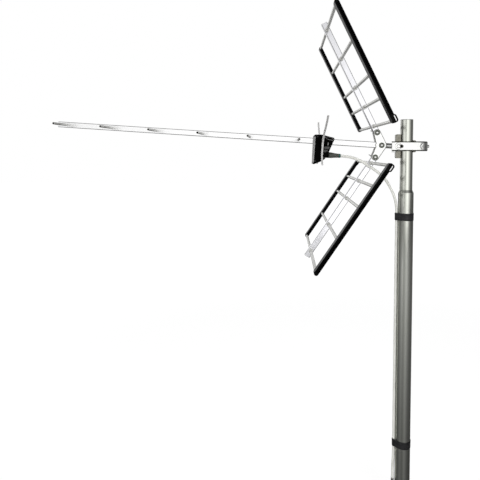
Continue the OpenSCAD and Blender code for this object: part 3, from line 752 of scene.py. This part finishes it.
def circuit_board():
    """Green lacquer over a pattern of tracks."""
    s = Shader("board", Roughness=0.35)
    tracks = s.node("ShaderNodeTexBrick", offset=0.5)
    tracks.inputs["Scale"].default_value = 90
    tracks.inputs["Mortar Size"].default_value = 0.012
    tracks.inputs["Color1"].default_value = (0.03, 0.2, 0.07, 1)
    tracks.inputs["Color2"].default_value = (0.04, 0.26, 0.09, 1)
    tracks.inputs["Mortar"].default_value = (0.45, 0.4, 0.16, 1)
    s.link(s.coordinates((1, 0, 1)), tracks.inputs["Vector"])
    s.set("Base Color", tracks.outputs["Color"])
    return s.material


def vinyl_tape():
    """Stretched insulating tape: glossy, with fine wrinkles round the mast."""
    s = Shader("tape", Specular_IOR_Level=0.3)
    dust = s.noise(60)
    s.set("Base Color", s.ramp(dust, [(0.3, (0.008, 0.008, 0.009)), (0.7, (0.02, 0.02, 0.021))]))
    s.set("Roughness", s.spread(s.noise(90, (1, 1, 3)), 0.22, 0.42))
    s.bump(s.noise(110, (0.4, 0.4, 4), detail=4), 0.0006, 0.5)
    return s.material


# Name: tone of the dark patches, tone of the light ones, and the maker's other values
ZINC = {
    # The two edge tones below are painted shade on rounded edges.
    "edge_aluminium": ((0.5, 0.5, 0.5), (0.56, 0.56, 0.56), {}),
    "edge_steel": ((0.16, 0.16, 0.14), (0.22, 0.22, 0.2), {"rough": 0.35}),
    "clamp_steel": (*PLATED, {"rough": 0.2, "edge_r": 2.2}),
    "plate_steel": (*PLATED, {"rough": 0.2, "edge_r": 4}),
    "jaw_steel": ((0.17, 0.17, 0.14), (0.26, 0.25, 0.215), {"rough": 0.28}),
    "fasteners": ((0.74, 0.75, 0.72), (0.86, 0.86, 0.84), {"rough": 0.16}),
    "dark_steel": ((0.13, 0.14, 0.12), (0.20, 0.21, 0.18), {"rough": 0.24}),
    "black_steel": ((0.02, 0.02, 0.02), (0.05, 0.05, 0.05), {}),
    # A dark olive tone for the painted shade on the yoke's edges.
    "olive_steel": ((0.11, 0.12, 0.09), (0.17, 0.18, 0.14), {}),
    "connector_metal": ((0.62, 0.61, 0.57), (0.76, 0.75, 0.71), {"rough": 0.2}),
}
MOULDED = {
    "rail_plastic": ((0.001, 0.001, 0.001), (0.003, 0.003, 0.003), {"rough": 0.16, "gloss": 0.03}),
    "box_plastic": ((0.001, 0.001, 0.001), (0.002, 0.002, 0.002), {"rough": 0.2, "gloss": 0.01}),
    # A pale grey for painted highlights on the box's relief.
    "worn_plastic": ((0.16, 0.16, 0.16), (0.28, 0.28, 0.28), {"rough": 0.35}),
    # A faint grey for the painted soft reflections on the box's side.
    "shaded_plastic": ((0.02, 0.02, 0.02), (0.045, 0.045, 0.045), {}),
    # A paler grey for the painted highlight on the box's front corner.
    "grey_plastic": ((0.2, 0.2, 0.2), (0.3, 0.3, 0.3), {}),
    "boot_rubber": ((0.045, 0.05, 0.043), (0.075, 0.08, 0.07), {"rough": 0.42}),
    "ring_rubber": ((0.008, 0.06, 0.05), (0.014, 0.09, 0.075), {"rough": 0.36}),
    "cable_jacket": ((0.58, 0.58, 0.545), (0.69, 0.69, 0.655), {"rough": 0.34, "grain": 500}),
}
DRAWN = {
    "rod_aluminium": ((0.79, 0.79, 0.76), (0.86, 0.86, 0.83), {}),
    "director_aluminium": ((0.58, 0.58, 0.56), (0.66, 0.66, 0.64), {}),
}


def make_materials():
    """All materials by name."""
    made = {
        "mast_steel": mast_steel(), "boom_aluminium": extruded_aluminium(),
        "spine_aluminium": spine_aluminium(), "strip_aluminium": dull_aluminium(),
        "board": circuit_board(), "tape": vinyl_tape(),
    }
    for maker, table in ((zinc, ZINC), (moulded, MOULDED), (drawn_aluminium, DRAWN)):
        for name, (low, high, more) in table.items():
            made[name] = maker(name, low, high, **more)
    return made


# CAD pieces that wear another finish than their slot's
OTHER_FINISH = {
    "near_hub_plate": "plate_steel", "far_hub_plate": "plate_steel", "box_screws": "black_steel",
    "near_dipole": "strip_aluminium", "far_dipole": "strip_aluminium",
    "dipole_screws": "strip_aluminium",
    **{"director_%d" % (i + 1): "director_aluminium" for i in range(DIRECTORS)},
}
# Flat plates, whose bevels aren't clamped, and all pieces whose broken edges get a dark material as
# painted shade
OPEN_OUTLINES = {"near_hub_plate", "far_hub_plate"}
SHADE_EDGED = OPEN_OUTLINES | {"clamp_yoke", "front_jaw", "rear_jaw", "tail_block"}
# The width of each piece's broken edges, in millimetres
EDGE_WIDTHS = {
    "near_hub_plate": 1.0, "far_hub_plate": 1.0, "clamp_yoke": 0.5, "front_jaw": 0.6, "rear_jaw": 0.6,
    "tail_block": 0.6, "cross_pin": 0.4, "pressure_screw": 0.4, "screw_nut": 0.4, "wing_nuts": 0.5,
    "near_dipole": 0.6, "far_dipole": 0.6, "near_holder": 0.6, "far_holder": 0.6, "dipole_screws": 0.4,
    "box_housing": 0.5, "box_cover": 0.5, "box_screws": 0.3, "boot_ring": 0.3,
    "upper_near_rail": 0.4, "upper_far_rail": 0.4, "lower_near_rail": 0.4, "lower_far_rail": 0.4,
    "upper_rod_clips": 0.5, "lower_rod_clips": 0.5,
}


def break_edges(piece, width):
    """Joins the split edges of an imported node and rounds its sharp ones a little."""
    weld = piece.modifiers.new("weld", "WELD")
    weld.merge_threshold = 0.00001
    flat = piece.modifiers.new("flat", "DECIMATE")
    flat.decimate_type = "DISSOLVE"
    flat.angle_limit = math.radians(1)
    bevel = piece.modifiers.new("bevel", "BEVEL")
    bevel.width = width * MM
    bevel.segments = 2
    bevel.limit_method = "ANGLE"
    bevel.angle_limit = math.radians(30)
    bevel.use_clamp_overlap = piece.name not in OPEN_OUTLINES
    bevel.harden_normals = True
    return bevel


def dress_frame():
    """Gives every CAD node the material of its slot, and broken edges where they show, some in a dark
    material as painted shade.
    """
    for part in frame["record"]["subparts"]:
        name = part["node"]
        node = frame["nodes"][name]
        finish = MATERIALS[OTHER_FINISH.get(name, part["material_slot"])]
        for holder in node.material_slots:
            holder.link = "OBJECT"
            holder.material = finish
        if name in EDGE_WIDTHS:
            bevel = break_edges(node, EDGE_WIDTHS[name])
            if name in SHADE_EDGED:
                # A dark material on the bevels: painted shade along the edges.
                node.data.materials.append(MATERIALS["edge_steel"])
                bevel.material = 1


# Floor, world and lamps

# The studio round the antenna: (bearing in degrees, brightness)
# Bearing 0 is the camera's side, and positive bearings are to the right
STUDIO = [
    (-180, 1.15), (-150, 0.9), (-115, 0.42), (-90, 0.52), (-66, 0.95), (-50, 1.4), (-36, 0.98),
    (-20, 0.98), (-8, 1.35), (4, 1.85), (16, 1.7), (32, 1.05), (56, 0.4), (93, 0.07), (130, 0.3),
    (180, 1.15),
]
# Brightness by steepness: (degrees above or below the horizon, share)
ROOF = [(0, 1), (8, 0.96), (13, 0.78), (20, 0.54), (36, 0.42), (55, 0.14), (90, 0.1)]
# Lamps: (place in metres, side in metres, power in watts), all turned to one point
LAMPS_AIM = Vector((-0.3, 0, 0.9))
LAMPS = {
    "key_lamp": ((1.6, -2.6, 2.6), 2.0, 60),
    "fill_lamp": ((-2.6, -2.4, 1.6), 2.0, 38),
    "top_lamp": ((-0.5, 0.3, 3.4), 2.4, 45),
}


class Nodes:
    """Short calls to build the node tree of the floor or of the world."""

    def __init__(self, tree):
        self.tree = tree

    def put(self, target, value):
        if hasattr(value, "is_linked"):
            self.tree.links.new(value, target)
        else:
            target.default_value = value

    def math(self, operation, first, second=0.0):
        made = self.tree.nodes.new("ShaderNodeMath")
        made.operation = operation
        self.put(made.inputs[0], first)
        self.put(made.inputs[1], second)
        return made.outputs["Value"]

    def span(self, value, start, end, low, high, smooth=True):
        made = self.tree.nodes.new("ShaderNodeMapRange")
        made.interpolation_type = "SMOOTHSTEP" if smooth else "LINEAR"
        limits = {"From Min": start, "From Max": end, "To Min": low, "To Max": high}
        for socket, number in limits.items():
            made.inputs[socket].default_value = number
        self.put(made.inputs["Value"], value)
        return made.outputs["Result"]

    def ramp(self, factor, stops):
        made = self.tree.nodes.new("ShaderNodeValToRGB")
        elements = made.color_ramp.elements
        while len(elements) < len(stops):
            elements.new(0.5)
        for element, (position, tone) in zip(elements, stops):
            element.position = position
            element.color = (tone, tone, tone, 1)
        self.put(made.inputs["Fac"], factor)
        return made.outputs["Color"]

    def studio_ring(self, parts):
        """The studio's brightness in the direction of a split vector."""
        toward = self.math("MULTIPLY", parts.outputs["Y"], -1.0)
        bearing = self.math("ARCTAN2", parts.outputs["X"], toward)
        share = self.span(bearing, -math.pi, math.pi, 0.0, 1.0, smooth=False)
        return self.ramp(share, [((angle + 180) / 360, tone) for angle, tone in STUDIO])

    def ray(self, *kinds):
        """1 for a ray of any of these kinds."""
        paths = self.tree.nodes.new("ShaderNodeLightPath").outputs
        value = paths[kinds[0]]
        for kind in kinds[1:]:
            value = self.math("MAXIMUM", value, paths[kind])
        return value

    def blend(self, factor, first, second):
        made = self.tree.nodes.new("ShaderNodeMixShader")
        self.put(made.inputs["Fac"], factor)
        self.tree.links.new(first, made.inputs[1])
        self.tree.links.new(second, made.inputs[2])
        return made.outputs["Shader"]


def make_floor():
    """White paper to the camera, but for the shadow; in reflections, painted shade near the mast and
    the studio's light painted on by bearing.
    """
    mesh = bmesh.new()
    bmesh.ops.create_grid(mesh, x_segments=2, y_segments=2, size=FLOOR_HALF)
    floor = add_mesh("floor", mesh, Matrix.Translation(Vector((0, FLOOR_BACK, -FLOOR_DROP))))
    material = bpy.data.materials.new("floor")
    material.use_nodes = True
    tree = material.node_tree
    n = Nodes(tree)
    paper = tree.nodes["Principled BSDF"]
    paper.inputs["Roughness"].default_value = 0.9
    place = tree.nodes.new("ShaderNodeTexCoord")
    reach = tree.nodes.new("ShaderNodeVectorMath")
    reach.operation = "LENGTH"
    tree.links.new(place.outputs["Object"], reach.inputs[0])
    distance = reach.outputs["Value"]
    seen = n.ray("Is Camera Ray")
    plain = n.ray("Is Camera Ray", "Is Diffuse Ray")
    parts = tree.nodes.new("ShaderNodeSeparateXYZ")
    tree.links.new(place.outputs["Object"], parts.inputs["Vector"])
    # In reflections the floor's colour carries painted light: the studio's ring by bearing, and shade
    # near the mast.
    ring_share = n.math("MULTIPLY_ADD", n.studio_ring(parts), FLOOR_RING_SHARE)
    ring_share.node.inputs[2].default_value = FLOOR_EVEN_SHARE
    even = n.span(distance, *FLOOR_TONE_SPAN, FLOOR_NEAR, FLOOR_FAR, smooth=False)
    mirrored = n.math("MULTIPLY", n.math("MULTIPLY", even, ring_share), n.math("SUBTRACT", 1.0, plain))
    tone = n.math("ADD", mirrored, n.math("MULTIPLY", plain, FLOOR_PAPER))
    tree.links.new(n.ramp(tone, [(0, 0), (1, 1)]), paper.inputs["Base Color"])
    glow = tree.nodes.new("ShaderNodeEmission")
    glow.inputs["Strength"].default_value = FLOOR_GLOW
    share = n.math("MULTIPLY", seen, n.span(distance, *GLOW_SPAN, *GLOW_SHARE))
    whole = n.blend(share, paper.outputs["BSDF"], glow.outputs["Emission"])
    tree.links.new(whole, tree.nodes["Material Output"].inputs["Surface"])
    floor.data.materials.append(material)


def make_world():
    """White to the camera; as light, a studio with a bright front, and dark right side and roof."""
    world = bpy.data.worlds.new("studio")
    world.use_nodes = True
    tree = world.node_tree
    n = Nodes(tree)
    place = tree.nodes.new("ShaderNodeTexCoord")
    parts = tree.nodes.new("ShaderNodeSeparateXYZ")
    tree.links.new(place.outputs["Generated"], parts.inputs["Vector"])
    ring = n.studio_ring(parts)
    steep = n.math("ABSOLUTE", parts.outputs["Z"])
    roof = n.ramp(steep, [(math.sin(math.radians(angle)), share) for angle, share in ROOF])
    light = tree.nodes["Background"]
    tree.links.new(ring, light.inputs["Color"])
    tree.links.new(roof, light.inputs["Strength"])
    white = tree.nodes.new("ShaderNodeBackground")
    white.inputs["Color"].default_value = (1, 1, 1, 1)
    white.inputs["Strength"].default_value = 1
    seen = n.ray("Is Camera Ray", "Is Transmission Ray")
    both = n.blend(seen, light.outputs["Background"], white.outputs["Background"])
    tree.links.new(both, tree.nodes["World Output"].inputs["Surface"])
    bpy.context.scene.world = world


def make_lamps():
    """Soft square lamps that don't show in reflections."""
    for name, (place, side, power) in LAMPS.items():
        data = bpy.data.lights.new(name, "AREA")
        data.shape = "RECTANGLE"
        data.size, data.size_y = side, side
        data.energy = power
        lamp = bpy.data.objects.new(name, data)
        lamp.location = place
        lamp.rotation_euler = (LAMPS_AIM - Vector(place)).to_track_quat("-Z", "Y").to_euler()
        lamp.visible_glossy = False
        bpy.context.scene.collection.objects.link(lamp)


make_camera()
MATERIALS = make_materials()
make_cable(make_plug())
make_tubes()
make_bolts()
make_boot()
make_box_corner_highlight()
make_box_highlight_relief()
make_director_plugs()
make_yoke_edge_shade()
make_tapes()
dress_frame()
make_floor()
make_world()
make_lamps()
bpy.context.scene.view_settings.view_transform = "Standard"
